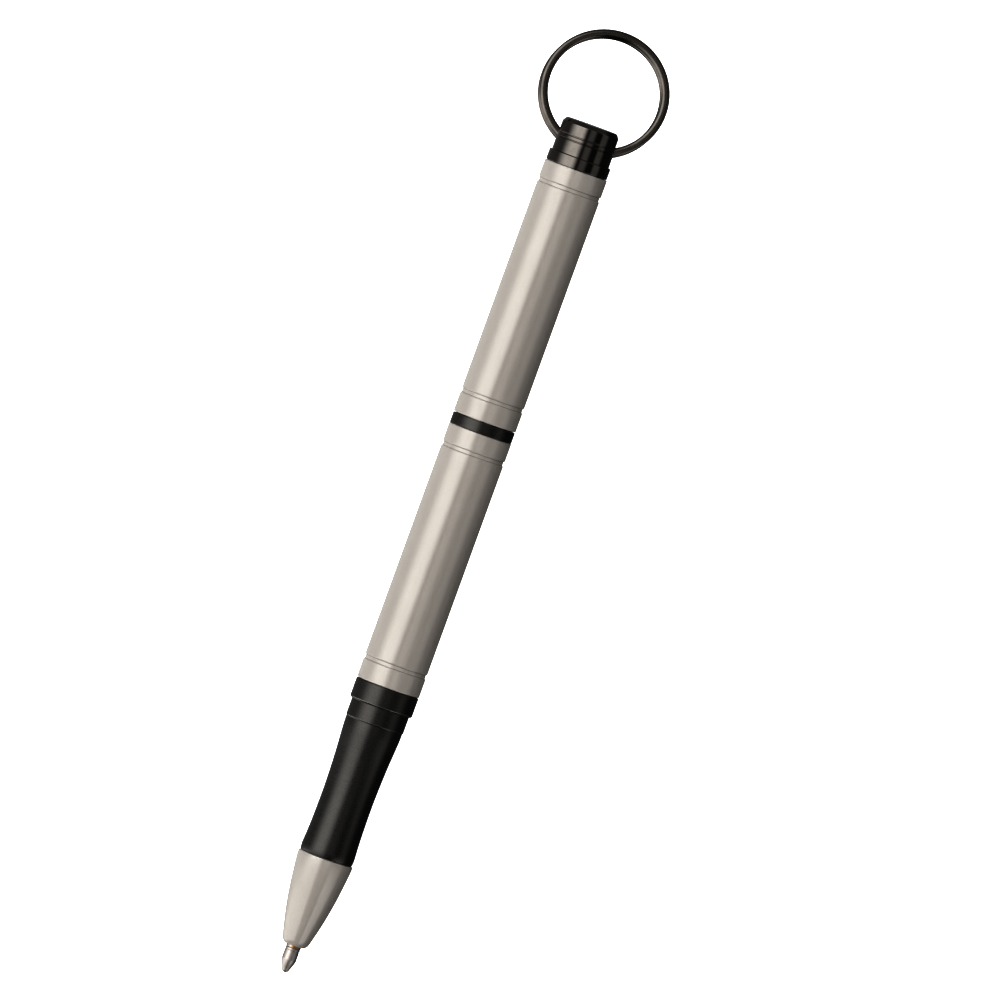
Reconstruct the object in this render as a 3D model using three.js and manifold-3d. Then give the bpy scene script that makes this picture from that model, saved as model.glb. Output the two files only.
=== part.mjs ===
// Capped pocket ballpoint pen with a key ring, cap posted on the tail.
// The pen lies on its side along X: writing ball at -X, cap end and ring at +X, +Z up, resting on z = 0.
// Lengths along the pen are stations in millimetres from the front of the writing ball; radii are true radii,
// and every turned piece is a polygon whose flats lie on that radius, with one flat facing down.
import * as THREE from 'three';
import { mergeVertices } from 'three/addons/utils/BufferGeometryUtils.js';
import Module from 'manifold-3d';

// ---- driving dimensions (mm) ----
const SIDES = 24;                 // sides of the turned pieces
const AXIS_HEIGHT = 5.0;          // pen axis above the surface it lies on = tube radius
const TUBE_R = 5.0;               // barrel and cap tubes, outside
const TUBE_BORE_R = 4.65;         // barrel and cap tubes, inside
const BEAD_R = 4.83;              // bottom of the rolled beads
const BEAD_BORE_R = 4.53;         // cap's snap bead, inside
const INSERT_R = 4.6;             // plugs and bush pressed in the tubes

const BALL_R = 0.5;
const SOCKET_R = 0.53;
const TIP_R = 1.12;               // straight shank of the point
const NECK_FRONT_R = 1.02;
const NECK_R = 1.55;
const REFILL_R = 2.85;
const REFILL_BORE_R = 2.45;
const REFILL_REAR = 88.5;

const CONE_FRONT = 4.33, CONE_REAR = 18.24;
const GRIP_FRONT = 18.31;
const SEAT_FRONT = 40.3, SEAT_R = 4.6;       // where the closed cap sits
const COLLAR_FRONT = 43.16, COLLAR_REAR = 46.05, COLLAR_R = 4.99;
const THREAD_R = 3.65, THREAD_BORE_R = 3.75; // section thread and its bush
const SPIGOT_REAR = 51.1;

const BARREL_FRONT = 46.2, BARREL_REAR = 87.25;
const BARREL_BEADS = [49.47, 83.93];
const TAIL_FLANGE_FRONT = 87.3, TAIL_FLANGE_REAR = 88.9, TAIL_FLANGE_R = 4.96;
const TAIL_NECK_R = 4.57, TAIL_END_R = 4.48, TAIL_REAR = 94.6;

const CAP_FRONT = 89.06, CAP_REAR = 129.9;
const CAP_BEADS = [92.48, 126.52];
const PLUG_FLANGE_R = 4.89, PLUG_NECK_R = 4.57, PLUG_END_R = 4.5, PLUG_REAR = 137.2;

const RING_HOLE = 133.65, RING_HOLE_R = 1.75; // cross hole through the cap plug
const RING_R = 10.05;             // outside radius of the split ring
const RING_WIDTH = 1.5;           // radial width of its flat wire
const RING_WIRE_T = 0.7;          // thickness of the wire
const RING_PITCH = 0.75;          // from one turn to the next
const RING_OFFSET = 8.68;         // ring centre from the cross hole's axis
const RING_DROOP = 13.12;         // degrees; the ring's far side lies on the surface

const SPRING_R = 2.35, SPRING_WIRE_R = 0.22, SPRING_TURNS = 3.5;
const SPRING_FRONT = 88.85, SPRING_REAR = 92.3;

const MID = 76.013;               // station of the row's origin, halfway along the whole object

// ---- materials ----
const finish = (color, roughness, metalness) => new THREE.MeshStandardMaterial({ color, roughness, metalness });
const NICKEL = finish(0xc9c2b8, 0.34, 1.0);
const BLACK_SATIN = finish(0x1b1b1a, 0.42, 0.6);
const BLACK_GLOSS = finish(0x151412, 0.18, 0.8);
const BLACK_NICKEL = finish(0x2a2724, 0.2, 1.0);
const STEEL = finish(0xb9b6b0, 0.22, 1.0);
const BRASS = finish(0xb08a4a, 0.3, 1.0);
const RUBBER = finish(0x101010, 0.8, 0.0);
const INK = finish(0x12142a, 0.5, 0.0);
const PLASTIC = finish(0xd8d6d0, 0.5, 0.0);
const CARBIDE = finish(0x8f8d89, 0.15, 1.0);

// ---- helpers ----
const wasm = await Module();
wasm.setup();

// outline: [station, radius] pairs, outside forwards (front to rear) and inside back
function turned(outline, sides = SIDES) {
  const k = 1 / Math.cos(Math.PI / sides);
  const points = outline.map(([a, r]) => new THREE.Vector2(r * k, a));
  const geometry = new THREE.LatheGeometry(points, sides, Math.PI / sides);
  return geometry.rotateZ(-Math.PI / 2);
}

const hollow = (outline) => turned([...outline, outline[0]]);

function toSolid(geometry) {
  const bare = geometry.clone();
  bare.deleteAttribute('normal');
  bare.deleteAttribute('uv');
  const merged = mergeVertices(bare, 1e-5);
  const index = merged.index.array;
  const keep = [];
  for (let i = 0; i < index.length; i += 3) {
    const [p, q, r] = [index[i], index[i + 1], index[i + 2]];
    if (p !== q && q !== r && r !== p) keep.push(p, q, r);
  }
  return new wasm.Manifold(new wasm.Mesh({
    numProp: 3,
    vertProperties: new Float32Array(merged.attributes.position.array),
    triVerts: new Uint32Array(keep),
  }));
}

function fromSolid(solid) {
  const mesh = solid.getMesh();
  const geometry = new THREE.BufferGeometry();
  geometry.setAttribute('position', new THREE.BufferAttribute(new Float32Array(mesh.vertProperties), 3));
  geometry.setIndex(new THREE.BufferAttribute(new Uint32Array(mesh.triVerts), 1));
  geometry.computeVertexNormals();
  return geometry;
}

const bead = (at, r, depthR) => [[at - 0.46, r], [at - 0.22, depthR], [at + 0.22, depthR], [at + 0.46, r]];

const pen = new THREE.Group();

function add(name, geometry, material, parent = pen) {
  const mesh = new THREE.Mesh(geometry, material);
  mesh.name = name;
  parent.add(mesh);
  return mesh;
}

// everything turned about the pen's axis
const axis = new THREE.Group();
axis.position.set(-MID, 0, AXIS_HEIGHT);
pen.add(axis);

// ---- barrel ----
add('barrel_tube', hollow([
  [BARREL_FRONT, TUBE_R - 0.1], [BARREL_FRONT + 0.1, TUBE_R],
  ...bead(BARREL_BEADS[0], TUBE_R, BEAD_R),
  ...bead(BARREL_BEADS[1], TUBE_R, BEAD_R),
  [BARREL_REAR - 0.1, TUBE_R], [BARREL_REAR, TUBE_R - 0.1],
  [BARREL_REAR, TUBE_BORE_R], [BARREL_FRONT, TUBE_BORE_R],
]), NICKEL, axis);

add('barrel_bush', hollow([
  [BARREL_FRONT + 0.05, INSERT_R], [54.5, INSERT_R],
  [54.5, THREAD_BORE_R], [47.1, THREAD_BORE_R], [47.1, 4.25], [BARREL_FRONT + 0.05, 4.25],
]), BRASS, axis);

add('tail_plug', turned([
  [92.6, 0], [92.6, 3.2], [80.4, 3.2],
  [80.4, INSERT_R - 0.1], [80.5, INSERT_R], [TAIL_FLANGE_FRONT, INSERT_R],
  [TAIL_FLANGE_FRONT, TAIL_FLANGE_R - 0.07], [TAIL_FLANGE_FRONT + 0.07, TAIL_FLANGE_R],
  [TAIL_FLANGE_REAR - 0.07, TAIL_FLANGE_R], [TAIL_FLANGE_REAR, TAIL_FLANGE_R - 0.07],
  [TAIL_FLANGE_REAR, TAIL_NECK_R], [91.5, TAIL_NECK_R], [91.6, TAIL_END_R],
  [94.0, TAIL_END_R], [94.35, 4.33], [TAIL_REAR, 4.0], [TAIL_REAR, 0],
]), BLACK_SATIN, axis);

// ---- front section ----
add('grip_section', hollow([
  [13.55, 3.0], [GRIP_FRONT, 3.0], [GRIP_FRONT, 4.05],
  [18.9, 4.2], [19.5, 4.25], [21.2, 4.13], [24.0, 4.05], [27.6, 3.99], [31.2, 4.06], [34.0, 4.15],
  [36.7, 4.35], [38.5, 4.47], [SEAT_FRONT, 4.51],
  [SEAT_FRONT, SEAT_R - 0.03], [SEAT_FRONT + 0.03, SEAT_R], [COLLAR_FRONT, SEAT_R],
  [COLLAR_FRONT, COLLAR_R - 0.08], [COLLAR_FRONT + 0.08, COLLAR_R],
  [COLLAR_REAR - 0.08, COLLAR_R], [COLLAR_REAR, COLLAR_R - 0.08],
  [COLLAR_REAR, THREAD_R], [SPIGOT_REAR - 0.15, THREAD_R], [SPIGOT_REAR, THREAD_R - 0.15],
  [SPIGOT_REAR, 3.1], [25.6, 3.1], [24.6, 2.0], [13.55, 2.0],
]), BLACK_SATIN, axis);

add('nose_cone', hollow([
  [CONE_FRONT, 1.5], [4.48, 1.66], [4.79, 2.0], [5.4, 2.24], [6.9, 2.61], [8.74, 3.03], [10.56, 3.38],
  [12.4, 3.7], [14.2, 3.96], [16.0, 4.16], [17.9, 4.34], [CONE_REAR, 4.34],
  [CONE_REAR, 3.1], [13.3, 3.1], [13.3, 1.9], [12.35, 1.9], [12.35, 1.22], [CONE_FRONT, 1.22],
]), NICKEL, axis);

const oRing = [];
for (let i = 0; i < 8; i++) {
  const t = (i / 8) * 2 * Math.PI;
  oRing.push([46.6 - 0.24 * Math.cos(t), 3.96 + 0.24 * Math.sin(t)]);
}
add('section_o_ring', hollow(oRing), RUBBER, axis);

// ---- refill ----
add('refill_tip', hollow([
  [0.48, 0.585], [0.53, 0.6], [0.84, 0.737], [1.14, 0.866], [1.44, 0.957], [1.75, 1.08], [2.05, TIP_R],
  [3.9, TIP_R], [3.9, 0.72], [7.0, 0.72], [7.0, 0.3],
  [0.937, 0.3], [0.8, 0.437], [0.65, 0.508], [0.5, SOCKET_R], [0.48, SOCKET_R],
]), STEEL, axis);

const ball = new THREE.SphereGeometry(BALL_R, 12, 8);
ball.translate(0.5, 0, 0);
add('writing_ball', ball, CARBIDE, axis);

add('refill_neck', hollow([
  [3.97, NECK_FRONT_R], [12.5, NECK_FRONT_R], [12.65, NECK_R], [25.8, NECK_R], [26.0, REFILL_R],
  [27.0, REFILL_R], [27.0, 2.4], [29.0, 2.4],
  [29.0, 1.0], [12.6, 1.0], [12.6, 0.5], [7.3, 0.5], [7.3, 0.78], [3.97, 0.78],
]), BRASS, axis);

add('refill_body_tube', hollow([
  [27.05, REFILL_R], [88.0, REFILL_R], [88.0, REFILL_BORE_R], [27.05, REFILL_BORE_R],
]), BRASS, axis);

add('ink_column', turned([[29.2, 0], [29.2, 2.38], [75.9, 2.38], [75.9, 0]]), INK, axis);
add('ink_float', turned([[76.0, 0], [76.0, 2.38], [79.0, 2.38], [79.0, 0]]), PLASTIC, axis);

add('refill_end_plug', turned([
  [86.0, 0], [86.0, 2.4], [88.05, 2.4], [88.05, REFILL_R], [88.35, REFILL_R], [REFILL_REAR, REFILL_R - 0.15],
  [REFILL_REAR, 0],
]), PLASTIC, axis);

class Helix extends THREE.Curve {
  getPoint(t, target = new THREE.Vector3()) {
    const w = 2 * Math.PI * SPRING_TURNS * t;
    return target.set(SPRING_FRONT + (SPRING_REAR - SPRING_FRONT) * t, SPRING_R * Math.cos(w), SPRING_R * Math.sin(w));
  }
}
const wire = new THREE.Shape();
for (let i = 0; i < 6; i++) {
  const t = (i / 6) * 2 * Math.PI;
  wire[i ? 'lineTo' : 'moveTo'](SPRING_WIRE_R * Math.cos(t), SPRING_WIRE_R * Math.sin(t));
}
add('refill_spring', new THREE.ExtrudeGeometry(wire, {
  steps: 49, bevelEnabled: false, extrudePath: new Helix(),
}), STEEL, axis);

// ---- cap ----
add('cap_tube', hollow([
  [CAP_FRONT, TUBE_R - 0.1], [CAP_FRONT + 0.1, TUBE_R],
  ...bead(CAP_BEADS[0], TUBE_R, BEAD_R),
  ...bead(CAP_BEADS[1], TUBE_R, BEAD_R),
  [CAP_REAR - 0.1, TUBE_R], [CAP_REAR, TUBE_R - 0.1],
  [CAP_REAR, TUBE_BORE_R],
  ...bead(CAP_BEADS[0], TUBE_BORE_R, BEAD_BORE_R).reverse(),
  [CAP_FRONT, TUBE_BORE_R],
]), NICKEL, axis);

const plug = toSolid(turned([
  [RING_HOLE, 0], [RING_HOLE, 1.6], [128.7, 1.6], [128.7, 3.9], [121.5, 3.9],
  [121.5, INSERT_R - 0.1], [121.6, INSERT_R], [CAP_REAR + 0.04, INSERT_R],
  [CAP_REAR + 0.04, PLUG_FLANGE_R - 0.08], [CAP_REAR + 0.12, PLUG_FLANGE_R],
  [131.3, PLUG_FLANGE_R], [131.5, PLUG_FLANGE_R - 0.15], [131.5, PLUG_NECK_R],
  [134.25, PLUG_NECK_R], [134.35, PLUG_END_R], [136.2, PLUG_END_R - 0.04], [136.7, 4.3],
  [137.0, 4.06], [PLUG_REAR, 3.7], [PLUG_REAR, 0],
]));
const drill = new THREE.CylinderGeometry(RING_HOLE_R / Math.cos(Math.PI / 16), RING_HOLE_R / Math.cos(Math.PI / 16), 14, 16);
drill.translate(RING_HOLE, 0, 0);
add('cap_plug', fromSolid(plug.subtract(toSolid(drill))), BLACK_GLOSS, axis);

// ---- split ring: two turns of flat wire, stepping from one turn to the other inside the cross hole ----
const STEP_START = 335, STEP_END = 358, WIRE_SPAN = 693; // degrees along the wire
class Coil extends THREE.Curve {
  getPoint(t, target = new THREE.Vector3()) {
    const along = WIRE_SPAN * t;
    const s = THREE.MathUtils.smoothstep(along, STEP_START, STEP_END);
    const w = THREE.MathUtils.degToRad(along - (STEP_START + STEP_END) / 2 + 180);
    const r = RING_R - RING_WIDTH / 2;
    return target.set(r * Math.cos(w), r * Math.sin(w), RING_PITCH * (0.5 - s));
  }
}
const strip = new THREE.Shape();
strip.moveTo(-RING_WIRE_T / 2, -RING_WIDTH / 2);
strip.lineTo(RING_WIRE_T / 2, -RING_WIDTH / 2);
strip.lineTo(RING_WIRE_T / 2, RING_WIDTH / 2);
strip.lineTo(-RING_WIRE_T / 2, RING_WIDTH / 2);
const hinge = new THREE.Group();
hinge.position.set(RING_HOLE - MID, 0, AXIS_HEIGHT);
hinge.rotation.y = THREE.MathUtils.degToRad(RING_DROOP);
pen.add(hinge);
const ring = add('split_ring', new THREE.ExtrudeGeometry(strip, {
  steps: 77, bevelEnabled: false, extrudePath: new Coil(),
}), BLACK_NICKEL, hinge);
ring.position.x = RING_OFFSET;

export default pen;
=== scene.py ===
# Looks for the capped pocket ballpoint: fine turned meshes, a two-turn split ring, satin, gloss and bright metal,
# a pale floor, soft strip lights and the long-lens camera from above.
import math

import bpy
from mathutils import Matrix, Vector


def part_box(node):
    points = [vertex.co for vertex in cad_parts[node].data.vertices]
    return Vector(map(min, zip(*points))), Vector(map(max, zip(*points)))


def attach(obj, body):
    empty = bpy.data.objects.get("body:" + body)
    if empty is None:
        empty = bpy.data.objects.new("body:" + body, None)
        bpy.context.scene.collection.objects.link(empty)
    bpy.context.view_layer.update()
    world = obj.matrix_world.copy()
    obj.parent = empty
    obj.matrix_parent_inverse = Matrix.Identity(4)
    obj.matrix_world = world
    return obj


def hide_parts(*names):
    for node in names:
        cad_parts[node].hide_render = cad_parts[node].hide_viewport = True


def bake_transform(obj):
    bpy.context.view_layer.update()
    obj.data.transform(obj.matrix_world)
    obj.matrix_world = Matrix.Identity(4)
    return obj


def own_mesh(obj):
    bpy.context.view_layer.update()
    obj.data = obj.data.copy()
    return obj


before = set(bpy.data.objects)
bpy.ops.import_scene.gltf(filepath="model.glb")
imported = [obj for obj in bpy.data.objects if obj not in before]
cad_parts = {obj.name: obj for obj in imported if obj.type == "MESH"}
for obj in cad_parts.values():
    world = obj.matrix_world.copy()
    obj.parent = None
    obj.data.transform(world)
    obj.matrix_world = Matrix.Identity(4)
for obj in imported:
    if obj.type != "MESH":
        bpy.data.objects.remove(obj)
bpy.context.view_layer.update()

MM = 0.001
X0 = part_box("writing_ball")[0].x                      # station 0: the front of the writing ball
_lo, _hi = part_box("barrel_tube")
AXIS_Z = (_lo.z + _hi.z) / 2
RING_HOLE = 133.65                                    # station of the cross hole
RING_DROOP = math.radians(13.12)
SEG = 192                                             # sides of the large turned pieces


# ------------------------------------------------------------------ mesh helpers
def fillet(points, closed, steps=5):
    """points are (station, radius), (station, radius, fillet radius) or those and how far the edge is worn paler with
    a painted highlight, in mm.
    Returns (station, radius, edge value), with an arc at each filleted corner; the edge value is 1, or as given, on
    outside arcs (worn paler and a painted highlight), -1 in hollow corners (painted shade) and 0 on the flats."""
    out = []
    n = len(points)
    for i, p in enumerate(points):
        f = p[2] if len(p) > 2 else 0.0
        here = Vector((p[0], p[1]))
        if f <= 0 or (not closed and i in (0, n - 1)):
            out.append((here.x, here.y, 0.0))
            continue
        before = Vector(points[i - 1][:2]) - here
        after = Vector(points[(i + 1) % n][:2]) - here
        la, lb = before.length, after.length
        before.normalize()
        after.normalize()
        angle = before.angle(after)
        if angle > math.radians(178):
            out.append((here.x, here.y, 0.0))
            continue
        reach = min(f / math.tan(angle / 2), 0.48 * la, 0.48 * lb)
        f = reach * math.tan(angle / 2)
        centre = here + (before + after).normalized() * (f / math.sin(angle / 2))
        start, end = here + before * reach - centre, here + after * reach - centre
        turn = start.angle_signed(end)
        hollow = before.y * after.x - before.x * after.y > 0
        rub_and_highlight = p[3] if len(p) > 3 else 1.0
        k = max(2, int(steps * abs(turn) / (math.pi / 2) + 1.5))
        q = here + before * (reach + min(0.04, 0.5 * (0.5 * la - reach)))       # keeps the flat beside the arc flat
        out.append((q.x, q.y, 0.0))
        for j in range(k + 1):
            q = Matrix.Rotation(-turn * j / k, 2) @ start + centre
            # outside arcs carry worn edges painted paler as a highlight; hollow corners carry painted shade
            out.append((q.x, q.y, -1.0 if hollow else rub_and_highlight if 0 < j < k else 0.0))
        q = here + after * (reach + min(0.04, 0.5 * (0.5 * lb - reach)))
        out.append((q.x, q.y, 0.0))
    return out


def spline(points, step=0.35):
    """Points along a smooth curve through (station, radius) points: monotone in station, Catmull-Rom slopes."""
    xs, ys = [p[0] for p in points], [p[1] for p in points]
    n = len(xs)
    slope = []
    for i in range(n):
        a, b = max(0, i - 1), min(n - 1, i + 1)
        slope.append((ys[b] - ys[a]) / (xs[b] - xs[a]))
    out = []
    for i in range(n - 1):
        h = xs[i + 1] - xs[i]
        k = max(1, int(abs(h) / step + 0.5))
        for j in range(k):
            t = j / k
            y = ((2 * t**3 - 3 * t**2 + 1) * ys[i] + (t**3 - 2 * t**2 + t) * h * slope[i]
                 + (-2 * t**3 + 3 * t**2) * ys[i + 1] + (t**3 - t**2) * h * slope[i + 1])
            out.append((xs[i] + t * h, y))
    out.append((xs[-1], ys[-1]))
    return out


def link(name, verts, faces, material, wear_and_painted_light=None, sharp=32.0, at=None):
    mesh = bpy.data.meshes.new(name)
    mesh.from_pydata(verts, [], faces)
    mesh.validate()
    mesh.shade_smooth()
    mesh.set_sharp_from_angle(angle=math.radians(sharp))
    if wear_and_painted_light is not None:
        # per-vertex edge value: above 0 on edges worn paler with a painted highlight, below 0 in hollows with painted
        # shade
        layer = mesh.attributes.new("wear_and_painted_light", "FLOAT", "POINT")
        layer.data.foreach_set("value", wear_and_painted_light)
    mesh.materials.append(material)
    obj = bpy.data.objects.new(name, mesh)
    bpy.context.scene.collection.objects.link(obj)
    obj.location = at if at is not None else (X0, 0.0, AXIS_Z)
    return obj


def lathe(name, outline, material, closed=True, seg=SEG, radius=None, sharp=32.0):
    """A piece turned about the pen's axis. outline goes forwards outside and back inside, as in a lathe drawing.
    radius(station, angle, r), if given, changes the radius, for threads and serrations."""
    rows = fillet(outline, closed)
    verts, faces, wear_and_painted_light, ring = [], [], [], []
    for a, r, w in rows:
        if r < 1e-6:
            ring.append([len(verts)])
            verts.append((a * MM, 0.0, 0.0))
            wear_and_painted_light.append(0.0)
            continue
        ids = []
        for j in range(seg):
            t = 2 * math.pi * j / seg
            rr = r if radius is None else radius(a, t, r)
            ids.append(len(verts))
            verts.append((a * MM, rr * math.sin(t) * MM, rr * math.cos(t) * MM))
            wear_and_painted_light.append(w)
        ring.append(ids)
    pairs = list(zip(ring, ring[1:])) + ([(ring[-1], ring[0])] if closed else [])
    for p, q in pairs:
        for j in range(seg):
            k = (j + 1) % seg
            if len(p) == 1 and len(q) == 1:
                continue
            if len(p) == 1:
                faces.append((p[0], q[k], q[j]))
            elif len(q) == 1:
                faces.append((p[j], p[k], q[0]))
            else:
                faces.append((p[j], p[k], q[k], q[j]))
    return link(name, verts, faces, material, wear_and_painted_light, sharp)


def apply_modifiers(obj):
    dg = bpy.context.evaluated_depsgraph_get()
    mesh = bpy.data.meshes.new_from_object(obj.evaluated_get(dg), preserve_all_data_layers=True, depsgraph=dg)
    obj.modifiers.clear()
    old, obj.data = obj.data, mesh
    bpy.data.meshes.remove(old)
    return obj


def bead(at, r, depth, half=0.43, floor=0.30, f=0.07):
    return [(at - half, r, f), (at - floor, r - depth, f), (at + floor, r - depth, f), (at + half, r, f)]


# ------------------------------------------------------------------ materials
def nodes_of(name):
    m = bpy.data.materials.new(name)
    m.use_nodes = True
    t = m.node_tree
    t.nodes.clear()
    out = t.nodes.new("ShaderNodeOutputMaterial")
    return m, t, out


def put(t, kind, at=(0, 0), **values):
    n = t.nodes.new(kind)
    n.location = at
    for k, v in values.items():
        if k in n.inputs:
            n.inputs[k].default_value = v
        else:
            setattr(n, k, v)
    return n


def coords(t, scale):
    """Coordinates in mm along and across the pen, stretched by scale."""
    tex = put(t, "ShaderNodeTexCoord", (-1400, 0))
    mp = put(t, "ShaderNodeMapping", (-1200, 0))
    mp.inputs["Scale"].default_value = tuple(1000.0 * s for s in scale)
    t.links.new(tex.outputs["Object"], mp.inputs["Vector"])
    return mp.outputs["Vector"]


def noise(t, vector, scale, detail=2.0, rough=0.5):
    n = put(t, "ShaderNodeTexNoise", (-1000, 0))
    n.inputs["Scale"].default_value = scale
    n.inputs["Detail"].default_value = detail
    n.inputs["Roughness"].default_value = rough
    t.links.new(vector, n.inputs["Vector"])
    return n.outputs["Fac"]


def remap(t, value, a, b, c, d, smooth=False):
    n = put(t, "ShaderNodeMapRange", (-800, 0))
    n.clamp = True
    if smooth:
        n.interpolation_type = "SMOOTHSTEP"
    for k, v in zip(("From Min", "From Max", "To Min", "To Max"), (a, b, c, d)):
        n.inputs[k].default_value = v
    t.links.new(value, n.inputs["Value"])
    return n.outputs["Result"]


def maths(t, op, a, b=None, clamp=False):
    n = put(t, "ShaderNodeMath", (-600, 0))
    n.operation = op
    n.use_clamp = clamp
    for i, v in enumerate((a, b)):
        if v is None:
            continue
        if isinstance(v, (int, float)):
            n.inputs[i].default_value = v
        else:
            t.links.new(v, n.inputs[i])
    return n.outputs[0]


def mix_colour(t, fac, a, b):
    n = put(t, "ShaderNodeMix", (-500, 0))
    n.data_type = "RGBA"
    for socket, v in ((n.inputs[0], fac), (n.inputs[6], a), (n.inputs[7], b)):
        if isinstance(v, (tuple, list)):
            socket.default_value = (*v, 1.0)
        elif isinstance(v, (int, float)):
            socket.default_value = v
        else:
            t.links.new(v, socket)
    return n.outputs[2]


def bump(t, height, strength, distance, normal=None):
    n = put(t, "ShaderNodeBump", (-400, -300))
    n.inputs["Strength"].default_value = strength
    n.inputs["Distance"].default_value = distance
    t.links.new(height, n.inputs["Height"])
    if normal is not None:
        t.links.new(normal, n.inputs["Normal"])
    return n.outputs["Normal"]


# outside edges: worn paler and a painted highlight
def edge_wear_and_highlight_mask(t):
    n = put(t, "ShaderNodeAttribute", (-1000, -400))
    n.attribute_type = "GEOMETRY"
    n.attribute_name = "wear_and_painted_light"
    return maths(t, "MAXIMUM", n.outputs["Fac"], 0.0)


# hollow corners: painted shade
def hollow_shade_mask(t):
    n = put(t, "ShaderNodeAttribute", (-1000, -600))
    n.attribute_type = "GEOMETRY"
    n.attribute_name = "wear_and_painted_light"
    return maths(t, "MAXIMUM", maths(t, "MULTIPLY", n.outputs["Fac"], -1.0), 0.0)


def surface(t, out, metallic, colour, rough, normal=None, **more):
    b = put(t, "ShaderNodeBsdfPrincipled", (0, 0))
    for key, v in (("Base Color", colour), ("Roughness", rough), ("Metallic", metallic)):
        if isinstance(v, (tuple, list)):
            b.inputs[key].default_value = (*v, 1.0)
        elif isinstance(v, (int, float)):
            b.inputs[key].default_value = v
        else:
            t.links.new(v, b.inputs[key])
    if normal is not None:
        t.links.new(normal, b.inputs["Normal"])
    for k, v in more.items():
        b.inputs[k.replace("_", " ")].default_value = v
    t.links.new(b.outputs["BSDF"], out.inputs["Surface"])
    return b


def satin_nickel():
    """Satin nickel plate over a blasted tube: mostly a broad scatter from the grain, with a tenth of a sharper
    reflection over it. Trace of lengthwise brushing, faint tarnish clouds, worn, smoother outside edges painted paler
    as a highlight, and painted shade darkening the hollow corners."""
    m, t, out = nodes_of("nickel_satin_plate")
    grain = noise(t, coords(t, (1, 1, 1)), 13.0, 2.0, 0.6)
    coarse = noise(t, coords(t, (1, 1, 1)), 4.5, 3.0, 0.65)
    brush = noise(t, coords(t, (0.05, 1, 1)), 6.0, 3.0, 0.6)
    cloud = noise(t, coords(t, (1, 1, 1)), 0.22, 2.0, 0.5)
    wear_and_painted_light = edge_wear_and_highlight_mask(t)
    colour = mix_colour(t, remap(t, cloud, 0.3, 0.7, 0, 1), (0.690, 0.663, 0.634), (0.704, 0.678, 0.650))
    colour = mix_colour(t, remap(t, brush, 0.3, 0.7, 0.0, 0.10), colour, (0.64, 0.613, 0.583))
    colour = mix_colour(t, remap(t, grain, 0.3, 0.7, 0.0, 0.10), colour, (0.76, 0.733, 0.705))
    # worn outside edges painted paler: partly a painted highlight
    colour = mix_colour(t, maths(t, "MULTIPLY", wear_and_painted_light, 0.25), colour, (0.78, 0.755, 0.725))
    # hollow corners painted dark: painted shade
    colour = mix_colour(t, maths(t, "MULTIPLY", hollow_shade_mask(t), 0.50), colour, (0.26, 0.24, 0.22))
    n = bump(t, grain, 0.10, 0.00002)
    n = bump(t, coarse, 0.05, 0.00003, n)
    broad = put(t, "ShaderNodeBsdfPrincipled", (0, 200))
    sharp = put(t, "ShaderNodeBsdfPrincipled", (0, -300))
    for b, r in ((broad, 1.0), (sharp, 0.105)):
        b.inputs["Metallic"].default_value = 1.0
        b.inputs["Roughness"].default_value = r
        t.links.new(colour, b.inputs["Base Color"])
        t.links.new(n, b.inputs["Normal"])
    share = remap(t, coarse, 0.3, 0.7, 0.090, 0.150)
    share = maths(t, "ADD", share, remap(t, brush, 0.3, 0.7, -0.015, 0.015))
    share = maths(t, "ADD", share, maths(t, "MULTIPLY", wear_and_painted_light, 0.16), clamp=True)
    both = put(t, "ShaderNodeMixShader", (300, 0))
    t.links.new(share, both.inputs[0])
    t.links.new(broad.outputs[0], both.inputs[1])
    t.links.new(sharp.outputs[0], both.inputs[2])
    t.links.new(both.outputs[0], out.inputs["Surface"])
    return m


def satin_black():
    """Black anodised aluminium, lightly blasted, with fine turning marks and edges worn a little paler, partly a
    painted highlight.
    """
    m, t, out = nodes_of("anodised_satin_black")
    grain = noise(t, coords(t, (1, 1, 1)), 10.0, 2.0, 0.6)
    turning = noise(t, coords(t, (1, 0.02, 0.02)), 6.0, 3.0, 0.6)
    wear_and_painted_light = edge_wear_and_highlight_mask(t)
    rough = remap(t, grain, 0.35, 0.65, 0.24, 0.42)
    rough = maths(t, "ADD", rough, remap(t, turning, 0.3, 0.7, -0.03, 0.03))
    colour = mix_colour(t, remap(t, grain, 0.35, 0.65, 0, 1), (0.0009, 0.0009, 0.0009), (0.0018, 0.0017, 0.0016))
    # edges worn to pale bare metal: partly a painted highlight
    wear_and_reflection_patch = maths(t, "MULTIPLY", wear_and_painted_light, remap(t, grain, 0.3, 0.7, 0.45, 0.75))
    colour = mix_colour(t, wear_and_reflection_patch, colour, (0.52, 0.49, 0.46))
    n = bump(t, grain, 0.12, 0.00002)
    n = bump(t, turning, 0.05, 0.00002, n)
    b = surface(t, out, wear_and_reflection_patch, colour, rough, n, IOR=1.71)
    b.inputs["Specular Tint"].default_value = (1.0, 0.96, 0.92, 1.0)
    return m


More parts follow.
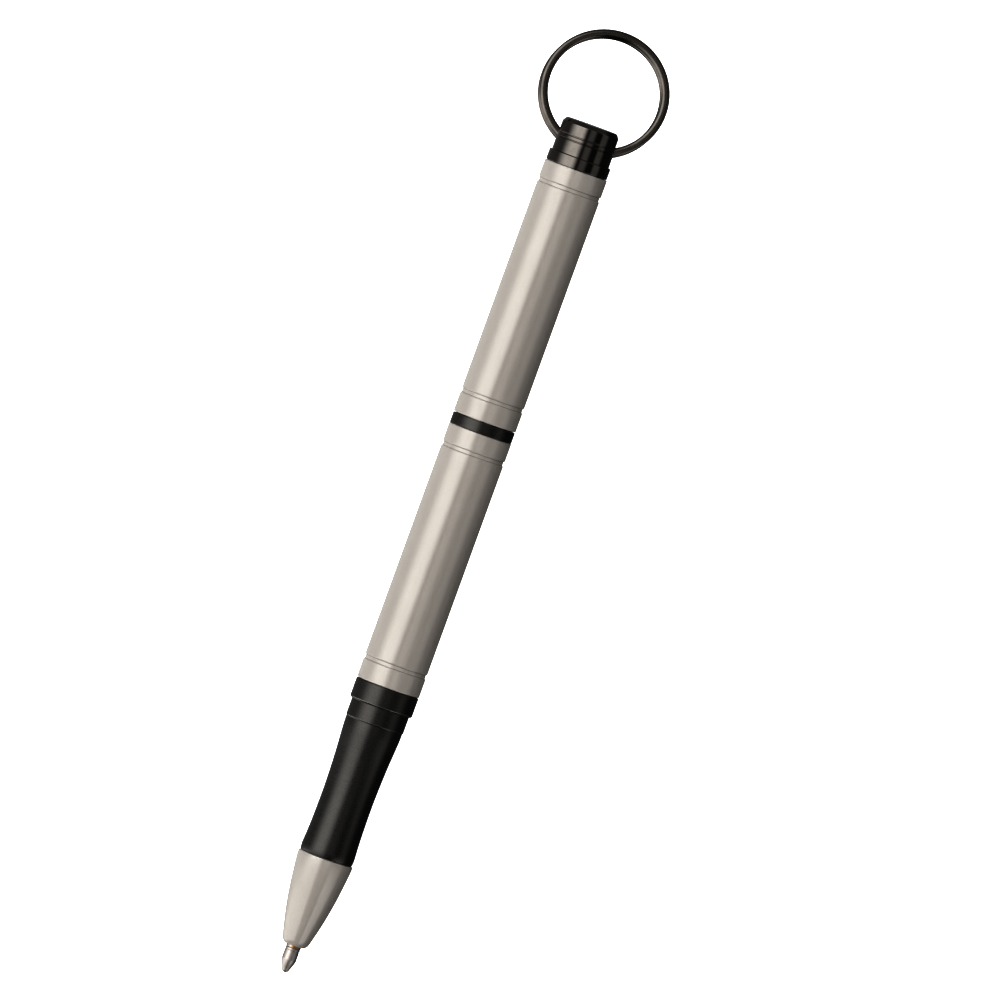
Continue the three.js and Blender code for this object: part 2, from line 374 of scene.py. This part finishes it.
def gloss_black():
    """Polished black plate: a dark mirror, with faint turning marks, handling smudges, edges worn paler, partly a
    painted highlight, and painted shade in the hollow corners.
    """
    m, t, out = nodes_of("polished_black")
    turning = noise(t, coords(t, (1, 0.02, 0.02)), 7.0, 3.0, 0.6)
    smudge = noise(t, coords(t, (1, 1, 1)), 0.9, 3.0, 0.6)
    wear_and_painted_light = edge_wear_and_highlight_mask(t)
    rough = maths(t, "ADD", remap(t, turning, 0.3, 0.7, 0.06, 0.10), remap(t, smudge, 0.4, 0.75, 0.0, 0.04))
    colour = mix_colour(t, remap(t, smudge, 0.3, 0.7, 0, 1), (0.121, 0.112, 0.103), (0.139, 0.129, 0.119))
    # worn edges painted paler: partly a painted highlight
    colour = mix_colour(t, maths(t, "MULTIPLY", wear_and_painted_light, 0.3), colour, (0.25, 0.235, 0.22))
    # hollow corners painted dark: painted shade
    colour = mix_colour(t, maths(t, "MULTIPLY", hollow_shade_mask(t), 0.70), colour, (0.02, 0.019, 0.018))
    n = bump(t, turning, 0.04, 0.00002)
    surface(t, out, 1.0, colour, rough, n)
    return m


def black_nickel():
    """Black nickel plate on the ring's spring wire: dark mirror, with drawn lines along the wire and its edges painted
    paler, partly worn and partly a painted highlight.
    """
    m, t, out = nodes_of("gunmetal_plate")
    fine = noise(t, coords(t, (1, 1, 1)), 8.0, 2.0, 0.6)
    cloud = noise(t, coords(t, (1, 1, 1)), 0.5, 2.0, 0.5)
    wear_and_painted_light = edge_wear_and_highlight_mask(t)
    rough = remap(t, fine, 0.3, 0.7, 0.16, 0.30)
    colour = mix_colour(t, remap(t, cloud, 0.3, 0.7, 0, 1), (0.105, 0.096, 0.087), (0.135, 0.124, 0.113))
    # the wire's edges painted paler: partly wear, partly a painted highlight
    colour = mix_colour(t, maths(t, "MULTIPLY", wear_and_painted_light, 0.5), colour, (0.20, 0.185, 0.17))
    n = bump(t, fine, 0.05, 0.00002)
    surface(t, out, 1.0, colour, rough, n)
    return m


def bright_metal(name, a, b, low, high, turned_scale=9.0):
    """Turned bright metal: fine turning rings in roughness, colour and bump."""
    m, t, out = nodes_of(name)
    turning = noise(t, coords(t, (1, 0.03, 0.03)), turned_scale, 3.0, 0.6)
    cloud = noise(t, coords(t, (1, 1, 1)), 0.8, 2.0, 0.5)
    wear_and_painted_light = edge_wear_and_highlight_mask(t)
    rough = maths(t, "ADD", remap(t, turning, 0.3, 0.7, low, high), remap(t, cloud, 0.4, 0.7, 0.0, 0.04))
    colour = mix_colour(t, remap(t, turning, 0.25, 0.75, 0, 1), a, b)
    # worn edges painted paler: partly a painted highlight
    colour = mix_colour(t, maths(t, "MULTIPLY", wear_and_painted_light, 0.2), colour, tuple(min(1.0, 1.25 * c) for c in b))
    n = bump(t, turning, 0.10, 0.00002)
    surface(t, out, 1.0, colour, rough, n)
    return m


def plated_neck():
    """Nickel plate on the refill's brass front, painted brass-coloured on the side of the neck facing up and a little
    towards -Y: a painted reflection.
    """
    m, t, out = nodes_of("refill_neck_plate")
    turning = noise(t, coords(t, (1, 0.03, 0.03)), 9.0, 3.0, 0.6)
    patch = noise(t, coords(t, (1, 1, 1)), 2.2, 3.0, 0.6)
    place = put(t, "ShaderNodeSeparateXYZ", (-1000, 300))
    t.links.new(coords(t, (1, 1, 1)), place.inputs[0])
    # brass colour painted on the side facing up and a little towards -Y: a painted reflection
    towards = maths(t, "ADD", maths(t, "MULTIPLY", place.outputs["Y"], -0.26), maths(t, "MULTIPLY", place.outputs["Z"], 0.966))
    towards = maths(t, "ADD", towards, maths(t, "MULTIPLY", maths(t, "SUBTRACT", patch, 0.5), 0.35))
    wear_and_reflection_patch = remap(t, towards, 0.88, 1.02, 0.0, 1.0, smooth=True)
    plate = mix_colour(t, remap(t, turning, 0.25, 0.75, 0, 1), (0.40, 0.368, 0.348), (0.47, 0.433, 0.409))
    brass = mix_colour(t, remap(t, turning, 0.25, 0.75, 0, 1), (0.40, 0.245, 0.120), (0.47, 0.295, 0.150))
    rough = remap(t, turning, 0.3, 0.7, 0.36, 0.48)
    surface(t, out, 1.0, mix_colour(t, wear_and_reflection_patch, plate, brass), rough, bump(t, turning, 0.10, 0.00002))
    return m


def moulded(name, a, b, rough_a, rough_b, **more):
    m, t, out = nodes_of(name)
    grain = noise(t, coords(t, (1, 1, 1)), 5.0, 3.0, 0.6)
    colour = mix_colour(t, remap(t, grain, 0.3, 0.7, 0, 1), a, b)
    n = bump(t, grain, 0.15, 0.00002)
    surface(t, out, 0.0, colour, remap(t, grain, 0.3, 0.7, rough_a, rough_b), n, **more)
    return m


NICKEL = satin_nickel()
SATIN = satin_black()
GLOSS = gloss_black()
RINGMETAL = black_nickel()
STEEL = bright_metal("point_steel", (0.43, 0.402, 0.382), (0.49, 0.458, 0.436), 0.40, 0.52)
BRASS = bright_metal("refill_brass", (0.36, 0.245, 0.120), (0.43, 0.295, 0.150), 0.36, 0.48)
PLATED = plated_neck()
CARBIDE = bright_metal("ball_carbide", (0.42, 0.41, 0.40), (0.48, 0.47, 0.45), 0.08, 0.12)
SPRING_STEEL = bright_metal("spring_steel", (0.50, 0.49, 0.47), (0.62, 0.60, 0.57), 0.18, 0.28, 3.0)
RUBBER = moulded("seal_rubber", (0.010, 0.010, 0.010), (0.020, 0.019, 0.018), 0.55, 0.75)
PLASTIC = moulded("refill_plastic", (0.66, 0.64, 0.59), (0.73, 0.71, 0.66), 0.38, 0.50)
INK = moulded("ink", (0.004, 0.004, 0.018), (0.008, 0.008, 0.030), 0.08, 0.16)

# ------------------------------------------------------------------ barrel
TUBE_R, TUBE_BORE = 5.0, 4.65


def piece(obj, node, body):
    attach(obj, body)
    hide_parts(node)
    return obj


piece(lathe("barrel_shell", [
    (46.2, TUBE_R, 0.13), *bead(49.55, TUBE_R, 0.17), *bead(84.05, TUBE_R, 0.17), (87.3, TUBE_R, 0.13),
    (87.3, TUBE_BORE, 0.04), (46.2, TUBE_BORE, 0.06),
], NICKEL), "barrel_tube", "barrel")


def thread(start, end, pitch, crest, root, inside):
    """Radius of a 60 degree thread between two stations, run out at each end."""
    def radius(a, t, r):
        if abs(r - crest) > 1e-4 or not start - 0.01 <= a <= end + 0.01:
            return r
        u = ((a / pitch + t / (2 * math.pi)) % 1.0)
        tooth = min(max((abs(2 * u - 1) - 0.12) / 0.72, 0.0), 1.0)
        fade = min(1.0, (a - start) / (0.5 * pitch), (end - a) / (0.5 * pitch))
        fade = max(0.0, fade)
        return crest + (root - crest) * tooth * fade
    return radius


def run(a, b, r, step):
    n = max(1, int(round(abs(b - a) / step)))
    return [(a + (b - a) * i / n, r) for i in range(n + 1)]


piece(lathe("barrel_thread_bush", [
    (46.25, 4.6, 0.08), (54.5, 4.6, 0.15), (54.5, 3.74, 0.05), *run(54.3, 47.3, 3.74, 0.0625),
    (47.1, 3.74, 0.05), (47.1, 4.25, 0.05), (46.25, 4.25, 0.08),
], BRASS, seg=96, radius=thread(47.3, 54.3, 1.0, 3.74, 3.98, True)), "barrel_bush", "barrel")

tail_end = lathe("tail_end_plug", [
    (92.6, 0), (92.6, 3.2), (80.4, 3.2, 0.1), (80.4, 4.6, 0.15), (87.33, 4.6, 0.03),
    (87.35, 4.96, 0.09, 0.1), (89.05, 4.96, 0.09, 0.1), (89.05, 4.57, 0.04), (91.5, 4.57, 0.05), (91.6, 4.48, 0.05),
    (94.0, 4.48, 0.3), (94.6, 4.05, 0.12), (94.6, 0),
], SATIN, closed=False)
tail_end.data.materials.append(GLOSS)                    # the stub behind the satin flange is polished
for face in tail_end.data.polygons:
    if face.center.x > 89.06 * MM:
        face.material_index = 1
piece(tail_end, "tail_plug", "barrel")

# ------------------------------------------------------------------ front section
GRIP_CURVE = spline([
    (18.95, 4.205), (19.45, 4.243), (20.3, 4.200), (21.2, 4.140), (22.1, 4.100), (23.0, 4.063), (24.85, 4.022),
    (26.7, 3.998), (28.0, 3.993), (29.4, 4.008), (31.2, 4.058), (33.05, 4.126), (34.9, 4.222), (36.7, 4.345),
    (38.5, 4.465), (39.4, 4.500), (40.10, 4.510),
])
piece(lathe("grip_body", [
    (13.55, 3.0, 0.15), (18.52, 3.0), (18.52, 4.09, 0.09), (18.72, 4.16), *GRIP_CURVE,
    (40.13, 4.53, 0.02), (40.30, 4.6, 0.10), (42.91, 4.6, 0.03), (42.93, 4.84, 0.06), (43.15, 4.99, 0.14),
    (46.05, 4.99, 0.08, 0.1), (46.05, 4.74), (46.14, 4.74), (46.14, 3.62, 0.03), (46.9, 3.62), (47.0, 3.64), *run(47.05, 50.95, 3.64, 0.0625), (51.1, 3.45, 0.05),
    (51.1, 3.1, 0.05), (25.6, 3.1), (24.6, 2.0), (13.55, 2.0, 0.08),
], SATIN, radius=thread(47.05, 50.95, 1.0, 3.64, 3.32, False), sharp=28.0), "grip_section", "front_section")

CONE_CURVE = spline([
    (4.79, 1.995), (5.09, 2.125), (5.40, 2.225), (5.90, 2.355), (6.45, 2.485), (7.2, 2.675), (8.13, 2.895),
    (9.35, 3.160), (10.56, 3.395), (11.8, 3.605), (13.0, 3.795), (14.2, 3.955), (15.4, 4.100), (16.6, 4.232),
    (17.5, 4.318), (18.25, 4.368),
], 0.25)
piece(lathe("nose_cone_shell", [
    (4.33, 1.26, 0.04), (4.33, 1.46), (4.38, 1.60), (4.48, 1.735), (4.62, 1.875), *CONE_CURVE,
    (18.46, 4.37, 0.12), (18.46, 3.1, 0.05), (13.3, 3.1), (13.3, 1.9), (12.35, 1.9), (12.35, 1.22), (4.42, 1.22),
], NICKEL), "nose_cone", "front_section")

piece(lathe("section_seal", [
    (46.6 - 0.24 * math.cos(2 * math.pi * i / 20), 3.96 + 0.24 * math.sin(2 * math.pi * i / 20)) for i in range(20)
], RUBBER, seg=96), "section_o_ring", "front_section")

# ------------------------------------------------------------------ refill
piece(lathe("writing_point", [
    (0.16, 0.40), (0.17, 0.50, 0.03), (0.36, 0.585, 0.04), (0.62, 0.665), (1.02, 0.835, 0.1), (1.50, 1.00, 0.25),
    (2.02, 1.13, 0.12), (3.44, 1.13, 0.03), (3.47, 1.05, 0.02), (3.56, 1.05, 0.02), (3.59, 1.15, 0.03),
    (3.86, 1.15, 0.04), (3.86, 0.72), (7.0, 0.72), (7.0, 0.3), (0.937, 0.3), (0.8, 0.437), (0.65, 0.508), (0.5, 0.53),
    (0.3, 0.49),
], STEEL, seg=128), "refill_tip", "refill")


def sphere(name, station, r, material, seg=64):
    rings = [(station - r * math.cos(math.pi * i / 32), r * math.sin(math.pi * i / 32)) for i in range(33)]
    rings[0], rings[-1] = (station - r, 0), (station + r, 0)
    return lathe(name, rings, material, closed=False, seg=seg)


piece(sphere("ball", 0.5, 0.5, CARBIDE), "writing_ball", "ball")

piece(lathe("refill_front", [
    (3.93, 1.15, 0.04), (4.9, 1.15, 0.05), (5.0, 1.02), (12.5, 1.02), (12.65, 1.55, 0.05), (25.8, 1.55), (26.0, 2.85, 0.1), (27.0, 2.85, 0.05),
    (27.0, 2.4), (29.0, 2.4, 0.1), (29.0, 1.0), (12.6, 1.0), (12.6, 0.5), (7.3, 0.5), (7.3, 0.78), (3.93, 0.78),
], PLATED, seg=96), "refill_neck", "refill")

piece(lathe("refill_tube", [
    (27.05, 2.85, 0.08), (88.0, 2.85, 0.08), (88.0, 2.45), (27.05, 2.45),
], BRASS, seg=96), "refill_body_tube", "refill")

ink = piece(lathe("ink_charge", [
    (29.2, 0), (29.2, 2.38, 0.1), (75.9, 2.38, 0.1), (75.9, 0),
], INK, closed=False, seg=64), "ink_column", "refill")

piece(lathe("ink_follower_float", [
    (76.05, 0), (76.05, 2.38, 0.3), (77.2, 2.38, 0.05), (77.3, 2.2, 0.05), (77.7, 2.2, 0.05), (77.8, 2.38, 0.05),
    (79.0, 2.38, 0.3), (79.0, 0),
], PLASTIC, closed=False, seg=64), "ink_float", "ink_follower")

piece(lathe("refill_cap", [
    (86.0, 0), (86.0, 2.4, 0.1), (88.05, 2.4), (88.05, 2.85, 0.05), (88.5, 2.85, 0.18), (88.5, 0),
], PLASTIC, closed=False, seg=96), "refill_end_plug", "refill")


def spring(name, start, end, turns, coil, wire, material, body_node):
    verts, faces, rows = [], [], []
    steps, sides = int(turns * 40), 12
    dead = 0.75                                          # closed turns at each end
    for i in range(steps + 1):
        w = turns * i / steps
        k = min(max((w - dead) / (turns - 2 * dead), 0.0), 1.0)
        k = k * k * (3 - 2 * k) * 0.35 + k * 0.65
        lead = 2 * wire * 1.05
        a = start + wire + k * (end - start - 2 * wire - 2 * dead * lead) + lead * (min(w, dead) + max(0.0, w - turns + dead))
        t = 2 * math.pi * w
        centre = Vector((a, coil * math.sin(t), coil * math.cos(t)))
        out = Vector((0, math.sin(t), math.cos(t)))
        ids = []
        for j in range(sides):
            u = 2 * math.pi * j / sides
            p = centre + wire * (math.cos(u) * out + math.sin(u) * Vector((1, 0, 0)))
            ids.append(len(verts))
            verts.append(tuple(p * MM))
        rows.append(ids)
    for p, q in zip(rows, rows[1:]):
        for j in range(sides):
            k = (j + 1) % sides
            faces.append((p[j], q[j], q[k], p[k]))
    faces.append(tuple(rows[0]))
    faces.append(tuple(reversed(rows[-1])))
    return link(name, verts, faces, material, [0.0] * len(verts), 40.0)


coil = spring("refill_coil_spring", 88.62, 92.5, 4.0, 2.35, 0.22, SPRING_STEEL, "refill_spring")

# ------------------------------------------------------------------ cap
piece(lathe("cap_shell", [
    (89.2, TUBE_R, 0.13), *bead(92.62, TUBE_R, 0.17), *bead(126.74, TUBE_R, 0.17), (129.9, TUBE_R, 0.13),
    (129.9, TUBE_BORE, 0.04), *[(a, TUBE_BORE - (TUBE_R - r), f) for a, r, f in reversed(bead(92.62, TUBE_R, 0.12))],
    (89.2, TUBE_BORE, 0.06),
], NICKEL), "cap_tube", "cap")

plug = lathe("cap_end_plug", [
    (133.65, 0), (133.65, 1.6), (128.7, 1.6, 0.1), (128.7, 3.9), (121.5, 3.9, 0.1), (121.5, 4.6, 0.15),
    (129.97, 4.6), (129.98, 4.89, 0.08), (131.62, 4.89, 0.10), (131.72, 4.80, 0.05), (131.74, 4.57, 0.03),
    (133.78, 4.57, 0.02), (133.86, 4.49, 0.02), (133.96, 4.49, 0.02), (134.04, 4.56, 0.03), (134.46, 4.56, 0.03),
    (134.56, 4.46, 0.02), (134.68, 4.46, 0.02), (134.74, 4.49, 0.02), (136.38, 4.49, 0.25), (136.93, 4.13, 0.15),
    (137.06, 3.92, 0.06), (137.06, 0),
], GLOSS, closed=False, seg=256)
drill = lathe("drill", [
    (-8.0, 0), (-8.0, 3.2), (-4.62, 1.93), (-4.42, 1.75, 0.1), (4.42, 1.75, 0.1), (4.62, 1.93), (8.0, 3.2), (8.0, 0),
], GLOSS, closed=False, seg=96)
drill.rotation_euler = (0, 0, math.pi / 2)
drill.location = (X0 + RING_HOLE * MM, 0.0, AXIS_Z)
cut = plug.modifiers.new("cross_hole", "BOOLEAN")
cut.operation = "DIFFERENCE"
cut.solver = "EXACT"
cut.object = drill
bpy.context.view_layer.update()
apply_modifiers(plug)
bpy.data.objects.remove(drill)
plug.data.set_sharp_from_angle(angle=math.radians(32.0))
piece(plug, "cap_plug", "cap")


# ------------------------------------------------------------------ split ring
def split_ring():
    """Two turns of flat spring wire with rounded edges. The wire steps from the upper turn to the lower one inside the
    cross hole, both ends are there too, and the lower turn sits a little off the upper one's centre."""
    half_w, half_t = 0.64, 0.345                       # crowned faces, rounded edges
    section = []
    for j in range(36):
        t = 2 * math.pi * j / 36
        u, v = math.cos(t), math.sin(t)
        section.append((half_w * math.copysign(abs(u) ** 0.77, u), half_t * math.copysign(abs(v) ** 1.43, v)))
    start, end, span = 335.0, 358.0, 693.0
    turn_mid = (start + end) / 2
    steps = 480
    verts, faces, rows, wear_and_painted_light = [], [], [], []
    for i in range(steps + 1):
        d = span * i / steps
        s = min(max((d - start) / (end - start), 0.0), 1.0)
        s = s * s * (3 - 2 * s)
        w = math.radians(d - turn_mid + 180.0)
        shift = Vector((-0.09, 0.09)) * (2 * s - 1)                       # turns not quite over each other
        r = 9.28
        out = Vector((math.cos(w), math.sin(w)))
        z = 0.375 * (1 - 2 * s)
        taper = 1.0 - 0.25 * max(0.0, 1 - min(d, span - d) / 2.0)
        ids = []
        for u, v in section:
            p = out * (r + u * taper) + shift
            ids.append(len(verts))
            verts.append((p.x * MM, p.y * MM, (z + v * taper) * MM))
            # the wire's outer and inner edges get the paler edge colour: partly wear, partly a painted highlight
            wear_and_painted_light.append(0.6 if abs(u) > 0.8 * half_w else 0.0)
        rows.append(ids)
    n = len(section)
    for p, q in zip(rows, rows[1:]):
        for j in range(n):
            k = (j + 1) % n
            faces.append((p[j], q[j], q[k], p[k]))
    faces.append(tuple(rows[0]))
    faces.append(tuple(reversed(rows[-1])))
    hinge = Vector((X0 + RING_HOLE * MM, 0.0, AXIS_Z))
    place = Matrix.Translation(hinge) @ Matrix.Rotation(RING_DROOP, 4, "Y") @ Matrix.Translation((8.68 * MM, 0, 0))
    obj = link("key_split_ring", verts, faces, RINGMETAL, wear_and_painted_light, 40.0, at=(0, 0, 0))
    obj.matrix_world = place
    return obj


piece(split_ring(), "split_ring", "key_ring")

# the spring bridges the refill and the barrel, so it is baked into world space and attached to neither; the ink gets a
# mesh of its own
coil.data.transform(coil.matrix_world)
coil.matrix_world = Matrix.Identity(4)
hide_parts("refill_spring")
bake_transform(coil)
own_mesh(ink)

# ------------------------------------------------------------------ floor
fm, ft, fout = nodes_of("pale_floor")
speck = noise(ft, coords(ft, (1, 1, 1)), 0.05, 2.0, 0.5)
fcol = mix_colour(ft, speck, (0.80, 0.80, 0.80), (0.82, 0.82, 0.82))
fb = surface(ft, fout, 0.0, fcol, 0.9)
fb.inputs["Emission Color"].default_value = (1.0, 1.0, 1.0, 1.0)
fb.inputs["Emission Strength"].default_value = 1.2
fmesh = bpy.data.meshes.new("floor")
S = 3.0
fmesh.from_pydata([(-S, -S, 0), (S, -S, 0), (S, S, 0), (-S, S, 0)], [], [(0, 1, 2, 3)])
fmesh.materials.append(fm)
floor = bpy.data.objects.new("floor", fmesh)
floor.location = (0, 0, -0.00002)
bpy.context.scene.collection.objects.link(floor)
floor.visible_glossy = False
floor.visible_diffuse = False
floor.visible_shadow = False

# ------------------------------------------------------------------ light
# Plain soft studio light, placed by angle from straight up, positive towards -Y: one large softbox along the pen's
# left, a small one along its right, a faint one overhead and a dim surround. Towards the nose the left one wraps
# further round and the right one is nearer.
world = bpy.data.worlds.new("studio")
bpy.context.scene.world = world
world.use_nodes = True
wt = world.node_tree
wt.nodes.clear()
wo = wt.nodes.new("ShaderNodeOutputWorld")
direction = wt.nodes.new("ShaderNodeTexCoord").outputs["Generated"]
split = wt.nodes.new("ShaderNodeSeparateXYZ")
wt.links.new(direction, split.inputs[0])
angle = maths(wt, "DEGREES", maths(wt, "ARCTAN2", maths(wt, "MULTIPLY", split.outputs["Y"], -1.0), split.outputs["Z"]))
nose = maths(wt, "MULTIPLY", split.outputs["X"], -1.0)


def softbox(a, b, c, d, level):
    """Level between the angles b and c, fading softly out to a and d."""
    up = remap(wt, angle, a, b, 0.0, 1.0, smooth=True)
    down = remap(wt, angle, c, d, 1.0, 0.0, smooth=True)
    return maths(wt, "MULTIPLY", maths(wt, "MULTIPLY", up, down), level)


def total(*levels):
    out = levels[0]
    for level in levels[1:]:
        out = maths(wt, "ADD", out, level)
    return out


def background(colour, strength):
    n = wt.nodes.new("ShaderNodeBackground")
    for socket, v in ((n.inputs["Color"], colour), (n.inputs["Strength"], strength)):
        if isinstance(v, tuple):
            socket.default_value = (*v, 1.0)
        elif isinstance(v, float):
            socket.default_value = v
        else:
            wt.links.new(v, socket)
    return n.outputs[0]


def both(a, b):
    n = wt.nodes.new("ShaderNodeAddShader")
    wt.links.new(a, n.inputs[0])
    wt.links.new(b, n.inputs[1])
    return n.outputs[0]


tube = total(softbox(-90, -45, -25, -2, 2.9), softbox(-5, 10, 20, 35, 0.5), softbox(50, 60, 75, 90, 0.45))
front = total(softbox(-150, -120, -20, -5, 1.5), softbox(30, 40, 75, 90, 1.3))
near_nose = remap(wt, nose, 0.15, 0.30, 0.0, 1.0, smooth=True)
boxes = total(maths(wt, "MULTIPLY", front, near_nose), maths(wt, "MULTIPLY", tube, maths(wt, "SUBTRACT", 1.0, near_nose)))
ends = remap(wt, maths(wt, "ABSOLUTE", split.outputs["X"]), 0.65, 0.80, 1.0, 0.0, smooth=True)
surround = remap(wt, angle, -90.0, 0.0, 0.30, 0.05, smooth=True)
glow = maths(wt, "MULTIPLY", remap(wt, split.outputs["X"], 0.65, 0.80, 0.0, 1.0, smooth=True), 0.25)
lit = both(background((1.0, 1.0, 0.99), maths(wt, "MULTIPLY", total(boxes, surround), ends)), background((1.0, 0.98, 0.95), glow))
path = wt.nodes.new("ShaderNodeLightPath")
pale = wt.nodes.new("ShaderNodeBackground")
pale.inputs["Color"].default_value = (1.0, 1.0, 1.0, 1)
blend = wt.nodes.new("ShaderNodeMixShader")
wt.links.new(path.outputs["Is Camera Ray"], blend.inputs[0])
wt.links.new(lit, blend.inputs[1])
wt.links.new(pale.outputs[0], blend.inputs[2])
wt.links.new(blend.outputs[0], wo.inputs["Surface"])

scene = bpy.context.scene
scene.view_settings.view_transform = "Standard"
scene.view_settings.look = "None"
scene.view_settings.exposure = 0.322
scene.view_settings.gamma = 1.0 / 1.6

# ------------------------------------------------------------------ camera
PX_PER_MM = 6.58
TILT = math.radians(2.3)                  # the camera stands a little towards the ring's end
ROLL = math.radians(19.98)                # the pen leans right in the picture
DISTANCE = 3.2
target = Vector((X0 + 78.75 * MM, -6.29 * MM, AXIS_Z))
back = Vector((math.sin(TILT), 0, math.cos(TILT)))
up = Vector((math.cos(ROLL), math.sin(ROLL), 0))
up = (up - up.dot(back) * back).normalized()
right = up.cross(back)
cam_data = bpy.data.cameras.new("camera")
cam_data.sensor_width = 36.0
cam_data.lens = 36.0 * DISTANCE / (1000.0 / PX_PER_MM * MM)
cam_data.clip_start, cam_data.clip_end = 0.05, 200.0
cam = bpy.data.objects.new("camera", cam_data)
cam.matrix_world = Matrix.Translation(target + back * DISTANCE) @ Matrix((right, up, back)).transposed().to_4x4()
scene.collection.objects.link(cam)
scene.camera = cam

bpy.context.view_layer.update()
